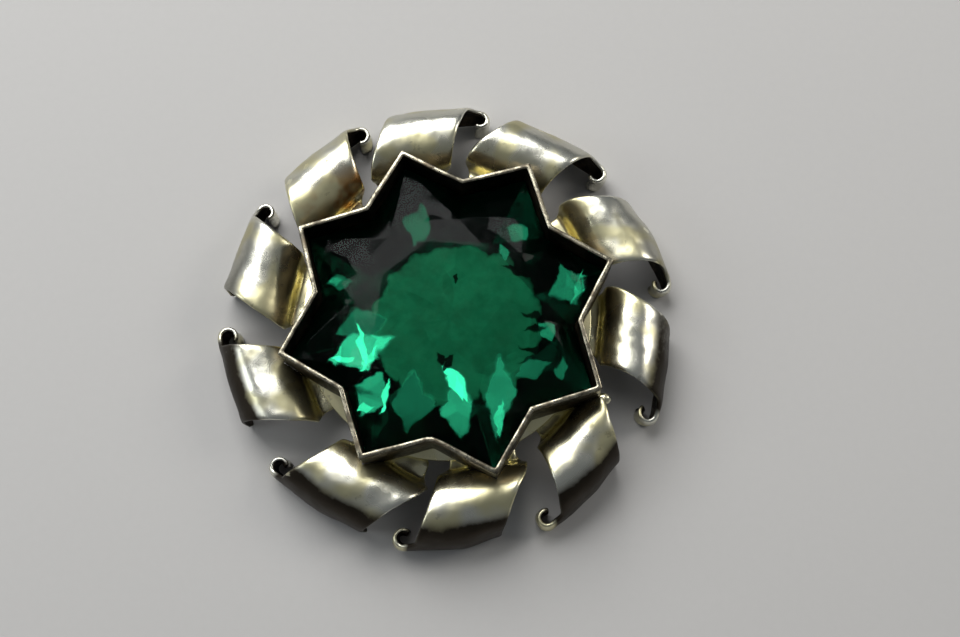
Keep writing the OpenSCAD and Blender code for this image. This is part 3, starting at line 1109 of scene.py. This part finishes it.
@dataclass
class StarSetting:
    """The bent star wall, the seat inside it and the plate that carries both."""

    tip_r: float = 16.4 * MM
    valley_r: float = 12.75 * MM
    points: int = 8
    first_tip: float = 106.2
    centre: tuple[float, float] = STAR_CENTRE[:2]
    floor_z: float = 3.6 * MM
    rim_z: float = 9.0 * MM
    wall_t: float = 0.5 * MM
    wall_rounding: float = 0.17 * MM
    wall_waves: tuple[float, float] = (3.1, 0.16)
    cuts: int = 7
    cutter_grow: float = 1.004
    cutter_z: float = 2.9 * MM
    cutter_h: float = 8.0 * MM
    bead_r: float = 0.62 * MM
    bead_gap: float = 0.45 * MM
    bead_z: float = 5.1 * MM
    bead_tip: int = 3
    bead_squash: Point = (1.15, 0.9, 0.8)
    bead_lumps: tuple[float, float] = (0.8, 0.22)
    seat_rounding: float = 0.06
    plate_rounding: float = 0.12

    def outline(self, name: str, grow: float, z: float) -> Thing:
        """Draws the star as a ring of edges.

        Args:
            name: The object's name.
            grow: Scale of the star about its centre.
            z: Height of the ring.

        Returns:
            The object, left in edit mode with the ring selected.
        """
        Bench.clear()
        x, y = self.centre
        radius = self.tip_r * grow
        bpy.ops.mesh.primitive_circle_add(vertices=2 * self.points, radius=radius, location=(x, y, z))
        obj = bpy.context.object
        obj.name = name
        Bench.settle(obj)
        Bench.edit(obj)
        work = bmesh.from_edit_mesh(obj.data)
        work.verts.ensure_lookup_table()
        first = work.verts[0].co
        now = math.degrees(math.atan2(first.y - y, first.x - x))
        for index, vert in enumerate(work.verts):
            vert.select = index % 2 == 1
        bmesh.update_edit_mesh(obj.data)
        inward = self.valley_r / self.tip_r
        Bench.scale((inward, inward, 1), (x, y, z))
        bpy.ops.mesh.select_all(action="SELECT")
        Bench.turn(self.first_tip - now, (x, y, z))
        return obj

    def cutter(self) -> Thing:
        """Makes a solid star that notches what meets the wall.

        Returns:
            The star.
        """
        obj = self.outline("star_cutter", self.cutter_grow, self.cutter_z)
        bpy.ops.mesh.edge_face_add()
        Bench.pull((0, 0, self.cutter_h))
        bpy.ops.mesh.select_all(action="SELECT")
        bpy.ops.mesh.normals_make_consistent(inside=False)
        Bench.done()
        return obj

    def wall(self) -> Thing:
        """Bends the wall strip.

        Returns:
            The wall.
        """
        obj = self.outline("star_wall", 1.0, self.floor_z)
        Bench.pull((0, 0, self.rim_z - self.floor_z))
        bpy.ops.mesh.select_all(action="SELECT")
        bpy.ops.mesh.subdivide(number_cuts=self.cuts)
        bpy.ops.mesh.select_all(action="SELECT")
        bpy.ops.mesh.normals_make_consistent(inside=False)
        Bench.done()
        Bench.uneven(obj, *self.wall_waves)
        Bench.finish_with(obj, "SOLIDIFY", thickness=self.wall_t, offset=-1.0, use_even_offset=True)
        Bench.finish_with(
            obj,
            "BEVEL",
            width=self.wall_rounding,
            segments=3,
            limit_method="ANGLE",
            angle_limit=math.radians(40),
        )
        Bench.finish_with(obj, "SUBSURF", levels=1, render_levels=1)
        Bench.smooth(obj)
        return obj

    def bead(self) -> Thing:
        """Makes the small solder bead outside one tip.

        Returns:
            The bead.
        """
        Bench.clear()
        a = math.radians(self.first_tip - self.bead_tip * 360 / self.points)
        r = self.tip_r + self.bead_gap
        spot = (self.centre[0] + r * math.cos(a), self.centre[1] + r * math.sin(a), self.bead_z)
        bpy.ops.mesh.primitive_ico_sphere_add(subdivisions=3, radius=self.bead_r, location=spot)
        obj = bpy.context.object
        obj.name = "solder_bead"
        obj.scale = self.bead_squash
        Bench.settle(obj)
        Bench.uneven(obj, *self.bead_lumps)
        Bench.finish_with(obj, "SUBSURF", levels=1, render_levels=1)
        Bench.smooth(obj)
        return obj

    def build(self, gilt: Material, strip: Material) -> None:
        """Builds and dresses the setting.

        Args:
            gilt: The petals' finish, for the plate and the bead.
            strip: The wall's finish.
        """
        wall = self.wall()
        dress(wall, strip)
        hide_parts("bezel_wall")
        place(wall, Body.BROOCH, Slot.WALL)
        bead = self.bead()
        dress(bead, gilt)
        place(bead, Body.BROOCH, Slot.GILT)
        seat = Bench.softened("seat_strip", "seat_ledge", self.seat_rounding)
        dress(seat, strip)
        place(seat, Body.BROOCH, Slot.WALL)
        plate = Bench.softened("back_plate", "plate_sheet", self.plate_rounding)
        Bench.smooth(plate, 30)
        dress(plate, gilt)
        place(plate, Body.BROOCH, Slot.GILT)


@dataclass
class StarStone:
    """The faceted glass star and the foil under it."""

    edge_wear: float = 0.05
    worn_from: float = 4.0
    silvered_below: float = 0.12

    def build(self, glass: Material, back: Material, foil: Material) -> None:
        """Builds and dresses the stone.

        Args:
            glass: The stone's finish.
            back: The silvering on its underside.
            foil: The foil's finish.
        """
        stone = Bench.softened("stone", "star_stone", self.edge_wear, angle=self.worn_from)
        dress(stone, glass)
        stone.data.materials.append(back)
        Bench.edit(stone, "FACE")
        work = bmesh.from_edit_mesh(stone.data)
        for face in work.faces:
            face.select_set(face.normal.z < self.silvered_below)
        bmesh.update_edit_mesh(stone.data)
        stone.active_material_index = 1
        bpy.ops.object.material_slot_assign()
        Bench.done()
        place(stone, Body.BROOCH, Slot.GLASS)
        dress(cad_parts["foil_disc"], foil)
        LOG.info("foil_disc dressed")


@dataclass
class PetalRing:
    """Ten arched strips of sheet, each with one corner rolled to a scroll."""

    belly_r: float = 22.175 * MM
    belly_z: float = 2.0 * MM
    ridge_r: float = 18.8 * MM
    ridge_z: float = 6.0 * MM
    tab_in: float = 12.9 * MM
    tab_out: float = 14.5 * MM
    tab_z: float = 2.775 * MM
    bend: float = 0.8 * MM
    tab_w: float = 5.5 * MM
    petal_w: float = 7.5 * MM
    sheet_t: float = 0.45 * MM
    lean: float = 1.15
    lanes: int = 9
    bend_rows: int = 3
    inner_rows: int = 6
    outer_rows: int = 11
    scroll_r: float = 0.75 * MM
    scroll_turn: float = 230.0
    tongue_run: float = 1.0 * MM
    tongue_h: float = 2.6 * MM
    tongue_below: float = 3.75 * MM
    run_steps: int = 2
    roll_steps: int = 10
    # How far past the side the tongue is marked to be spared the painted dark reflection.
    dark_reflection_spared_past: float = 0.6 * MM
    first_edge: float = 84.0
    nudge: tuple[float, ...] = (0, 0, 0.5, 1, -1, -2, -3, -4.5, -4.5, -2.5)
    wide: tuple[float, ...] = (1.08, 1.12, 1.03, 1.04, 1.07, 1.13, 1.24, 1.04, 1.04, 1.07)
    # The petal listed here takes a painted orange reflection at its root.
    orange_reflection_petals: tuple[int, ...] = (9,)
    pressed: tuple[float, ...] = (
        0.4 * MM, 0.5 * MM, 0.6 * MM, 0.6 * MM, 1.0 * MM, 1.0 * MM, 0.7 * MM, 0.3 * MM, 0.05 * MM, 0.4 * MM,
    )
    cup_reach: float = 4.2 * MM
    worn_corner: float = 1.5 * MM
    dents: tuple[float, float] = (4.3, 0.42)
    ripples: tuple[float, float] = (1.2, 0.07)
    rows: list[tuple[float, float]] = field(default_factory=list)

    def profile(self) -> list[tuple[float, float]]:
        """Gives the strip's line from the tab's outer end to the lower edge.

        Returns:
            The radius and the height of each row after the tab.
        """
        out: list[tuple[float, float]] = []
        root_r, root_z = self.tab_out + self.bend, self.tab_z + self.bend
        for i in range(1, self.bend_rows + 1):
            a = math.radians(90 * i / self.bend_rows)
            out.append((self.tab_out + self.bend * math.sin(a), root_z - self.bend * math.cos(a)))
        for i in range(1, self.inner_rows + 1):
            a = math.radians(90 * i / self.inner_rows)
            r = self.ridge_r - (self.ridge_r - root_r) * math.cos(a)
            out.append((r, root_z + (self.ridge_z - root_z) * math.sin(a)))
        under = math.degrees(math.asin(self.belly_z / (self.ridge_z - self.belly_z)))
        for i in range(1, self.outer_rows + 1):
            a = math.radians(90 - (90 + under) * i / self.outer_rows)
            r = self.ridge_r + (self.belly_r - self.ridge_r) * math.cos(a)
            out.append((r, self.belly_z + (self.ridge_z - self.belly_z) * math.sin(a)))
        return out

    def sheet(self) -> Thing:
        """Draws one petal's middle surface, its belly square to +X.

        Returns:
            The petal, which the others are copied from.
        """
        Bench.clear()
        length = self.tab_out - self.tab_in
        bpy.ops.mesh.primitive_plane_add(size=1, location=(0, 0, 0))
        obj = bpy.context.object
        obj.name = "petal_pattern"
        Bench.edit(obj)
        bpy.ops.mesh.select_all(action="SELECT")
        Bench.scale((length, self.tab_w, 1), (0, 0, 0))
        Bench.shift(((self.tab_in + self.tab_out) / 2, 0, self.tab_z))
        Bench.pick_edges(lambda a, b: abs(a.x - b.x) < 1e-7)
        bpy.ops.mesh.subdivide(number_cuts=self.lanes - 1)
        bpy.ops.mesh.select_all(action="SELECT")
        start = self.lean * (self.belly_r - self.tab_out) / MM
        Bench.turn(start)
        facing_to = Vector((math.cos(math.radians(start)), math.sin(math.radians(start)), 0))
        Bench.pick_verts(lambda p: p.dot(facing_to) > self.tab_out - TINY)
        r, z, width, facing = self.tab_out, self.tab_z, self.tab_w, start
        self.rows = []
        for next_r, next_z in self.profile():
            a = math.radians(facing)
            Bench.pull(((next_r - r) * math.cos(a), (next_r - r) * math.sin(a), next_z - z))
            want = self.lean * (self.belly_r - next_r) / MM
            Bench.turn(want - facing)
            if width < self.petal_w:
                grown = min(self.petal_w, width + (self.petal_w - self.tab_w) / self.bend_rows)
                Bench.scale((grown / width,) * 3, Bench.selected_centre())
                width = grown
            r, z, facing = next_r, next_z, want
            self.rows.append((r, z))
        self.tongue()
        return obj

    def cup(self, depth: float) -> None:
        """Rounds the strip in plan, so that its outer wall bulges in the middle.

        Args:
            depth: How far the free end is pressed in.
        """
        half = self.petal_w / 2
        Bench.pick_verts(lambda p: p.y > half * 0.96 and math.hypot(p.x, p.y) > self.ridge_r + 0.5 * MM)
        bpy.ops.transform.translate(
            value=(-depth, -0.25 * depth, 0),
            use_proportional_edit=True,
            proportional_edit_falloff="SMOOTH",
            proportional_size=self.cup_reach,
        )

    def tongue(self) -> None:
        """Pulls the tongue out of the clockwise side and rolls it into a scroll."""
        half = self.petal_w / 2
        low = [p for p in self.rows if p[1] < self.tongue_below and p[0] > self.ridge_r]
        top = low[0][1]

        def at_corner(p: Vector) -> bool:
            """Says whether a vertex is on the clockwise side below the tongue's top."""
            return p.y < -half * 0.90 and p.z <= top + TINY and math.hypot(p.x, p.y) > self.ridge_r

        def corner_edge(a: Vector, b: Vector) -> bool:
            """Says whether an edge runs down the clockwise side."""
            return at_corner(a) and at_corner(b) and abs(a.z - b.z) > 0.02 * MM

        Bench.pick_edges(corner_edge)
        height = top
        for k in range(1, self.run_steps + self.roll_steps + 1):
            if k <= self.run_steps:
                step = (0.0, -self.tongue_run / self.run_steps, 0.0)
            else:
                a0 = math.radians(self.scroll_turn * (k - 1 - self.run_steps) / self.roll_steps)
                a1 = math.radians(self.scroll_turn * (k - self.run_steps) / self.roll_steps)
                step = (
                    -self.scroll_r * (math.cos(a0) - math.cos(a1)),
                    -self.scroll_r * (math.sin(a1) - math.sin(a0)),
                    0.0,
                )
            Bench.pull(step)
            f = min(1.0, k / (self.run_steps + 1))
            wanted = top + (self.tongue_h - top) * f * (2 - f)
            Bench.scale((1, 1, wanted / height), (0, 0, 0))
            height = wanted
        Bench.done()
        # The tongue is marked, so that the painted dark reflection is left off it.
        bpy.ops.geometry.attribute_add(name=SPARED_DARK_REFLECTION, domain="POINT", data_type="FLOAT")
        Bench.edit(bpy.context.object)
        Bench.pick_verts(lambda p: p.y < -half - self.dark_reflection_spared_past)
        bpy.ops.mesh.attribute_set(value_float=1.0)
        Bench.done()

    def build(
        self,
        gilt: Material,
        orange_reflecting: Material,
        under: Material,
        cutter: Thing,
    ) -> None:
        """Models the petal once, then copies, places, dents and notches each one.

        Args:
            gilt: The petals' finish.
            orange_reflecting: The finish of the petal with a painted orange reflection at its root.
            under: The finish of their undersides.
            cutter: The solid star that notches them.
        """
        pattern = self.sheet()
        half_turn = math.degrees(self.petal_w / 2 / self.belly_r)
        count = len(self.nudge)
        half = self.petal_w / 2
        for k in range(count):
            petal = Bench.copy(pattern, f"petal_sheet_{k + 1:02d}")
            Bench.edit(petal)
            self.cup(self.pressed[k])
            Bench.pick_verts(lambda p: p.z < 0.05 * MM and p.y > half * 0.8)
            bpy.ops.mesh.bevel(offset=self.worn_corner, segments=3, affect="VERTICES")
            Bench.pick_verts(lambda p: p.y > -half + TINY)
            Bench.scale((1, 1.03 * self.wide[k], 1), (0, -half, 0))
            bpy.ops.mesh.select_all(action="SELECT")
            Bench.turn(self.first_edge - k * 360 / count + self.nudge[k] + half_turn)
            bpy.ops.mesh.normals_make_consistent(inside=False)
            ridge = max(bmesh.from_edit_mesh(petal.data).faces, key=lambda f: f.calc_center_median().z)
            if ridge.normal.z < 0:
                bpy.ops.mesh.flip_normals()
            Bench.done()
            dress(petal, orange_reflecting if k in self.orange_reflection_petals else gilt)
            petal.data.materials.append(under)
            Bench.uneven(petal, *self.dents)
            Bench.finish_with(
                petal,
                "SOLIDIFY",
                thickness=self.sheet_t,
                offset=0.0,
                use_even_offset=True,
                material_offset=1,
                material_offset_rim=0,
            )
            Bench.finish_with(petal, "SUBSURF", levels=2, render_levels=2)
            Bench.uneven(petal, *self.ripples)
            Bench.finish_with(petal, "BOOLEAN", operation="DIFFERENCE", object=cutter, solver="EXACT")
            Bench.smooth(petal, 50)
            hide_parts(f"petal_{k + 1:02d}")
            place(petal, Body.BROOCH, Slot.GILT)
        bpy.data.objects.remove(pattern)
        bpy.data.objects.remove(cutter)


@dataclass
class PinAndCatch:
    """The hinged pin and the turning catch behind the plate."""

    rounding: float = 0.05

    def build(self, gilt: Material, wire: Material) -> None:
        """Builds and dresses the fittings.

        Args:
            gilt: The finish of the soldered fittings.
            wire: The finish of the rivet and the pin.
        """
        for node, name, body, slot, material in (
            ("hinge_block", "hinge_ears", Body.BROOCH, Slot.GILT, gilt),
            ("hinge_rivet", "hinge_rivet_head", Body.BROOCH, Slot.STEEL, wire),
            ("pin_stem", "pin_wire", Body.PIN, Slot.STEEL, wire),
            ("catch_housing", "catch_shell", Body.BROOCH, Slot.GILT, gilt),
            ("catch_roller", "catch_lock", Body.ROLLER, Slot.GILT, gilt),
        ):
            piece = Bench.softened(node, name, self.rounding, angle=40.0)
            Bench.smooth(piece, 35)
            dress(piece, material)
            place(piece, body, slot)


@dataclass(frozen=True)
class Lamp:
    """One square soft light that points at the brooch: its place, its side in metres and its power."""

    name: str
    at: Point
    size: float
    watts: float
    tone: Colour = (1, 1, 1)

    def hang(self) -> None:
        """Adds the light to the scene."""
        data = bpy.data.lights.new(self.name, "AREA")
        data.size = self.size
        data.energy = self.watts
        data.color = self.tone
        lamp = bpy.data.objects.new(self.name, data)
        lamp.location = self.at
        lamp.rotation_euler = (-Vector(self.at)).to_track_quat("-Z", "Y").to_euler()
        bpy.context.scene.collection.objects.link(lamp)


@dataclass
class Studio:
    """Floor, lights and camera."""

    camera_at: Point = (3.25 * MM, -27.53 * MM, 108.22 * MM)
    camera_tilt: float = 14.63
    lens: float = 41.25
    floor_w: float = 1.2
    floor_z: float = -0.06 * MM
    sky: Colour = (0.80, 0.86, 0.92)
    sky_strength: float = 0.15
    sensor_w: float = 36
    lamps: tuple[Lamp, ...] = (
        Lamp("top_soft", (-0.13, 0.25, 0.30), 0.34, 1.90),
        Lamp("left_soft", (-0.34, -0.02, 0.20), 0.14, 0.22, (0.92, 0.97, 1.0)),
        Lamp("right_fill", (0.30, 0.12, 0.24), 0.14, 0.34, (1.0, 0.96, 0.90)),
    )

    def build(self, card: Material) -> None:
        """Sets up the studio.

        Args:
            card: The floor's finish.
        """
        Bench.clear()
        bpy.ops.mesh.primitive_plane_add(size=self.floor_w, location=(0, 0, self.floor_z))
        floor = bpy.context.object
        floor.name = "floor"
        Bench.settle(floor)
        dress(floor, card)
        world = bpy.data.worlds.new("studio")
        world.use_nodes = True
        background = world.node_tree.nodes["Background"].inputs
        background["Color"].default_value = (*self.sky, 1)
        background["Strength"].default_value = self.sky_strength
        bpy.context.scene.world = world
        bpy.context.scene.view_settings.view_transform = "Standard"
        for lamp in self.lamps:
            lamp.hang()
        data = bpy.data.cameras.new("camera")
        data.lens = self.lens
        data.sensor_width = self.sensor_w
        data.clip_start = 0.005
        data.clip_end = 10
        camera = bpy.data.objects.new("camera", data)
        camera.location = self.camera_at
        camera.rotation_euler = (math.radians(self.camera_tilt), 0, 0)
        bpy.context.scene.collection.objects.link(camera)
        bpy.context.scene.camera = camera


def main() -> None:
    """Builds every sub-assembly in order and notes the sizes."""
    logging.basicConfig(level=logging.INFO, format="%(name)s %(message)s")
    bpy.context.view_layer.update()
    gilt = WornGilding().make()
    strip = TarnishedStrip().make()
    setting = StarSetting()
    # This gilding carries a strong painted orange reflection at the root, for one petal.
    orange_reflecting = WornGilding(name="gilding_orange_reflection", orange_reflection_share=0.9, gold_share=0.9).make()
    PetalRing().build(gilt, orange_reflecting, ShadedSide().make(), setting.cutter())
    setting.build(WornGilding(name="plate_gilding", gold_share=0.9).make(), strip)
    StarStone().build(GreenGlass().make(), FoiledBack().make(), CrinkledFoil().make())
    PinAndCatch().build(WornGilding(name="fitting_gilding", gold_share=0.9).make(), DrawnWire().make())
    Studio().build(PaleCard().make())
    Bench.clear()


if __name__ == "__main__":
    main()
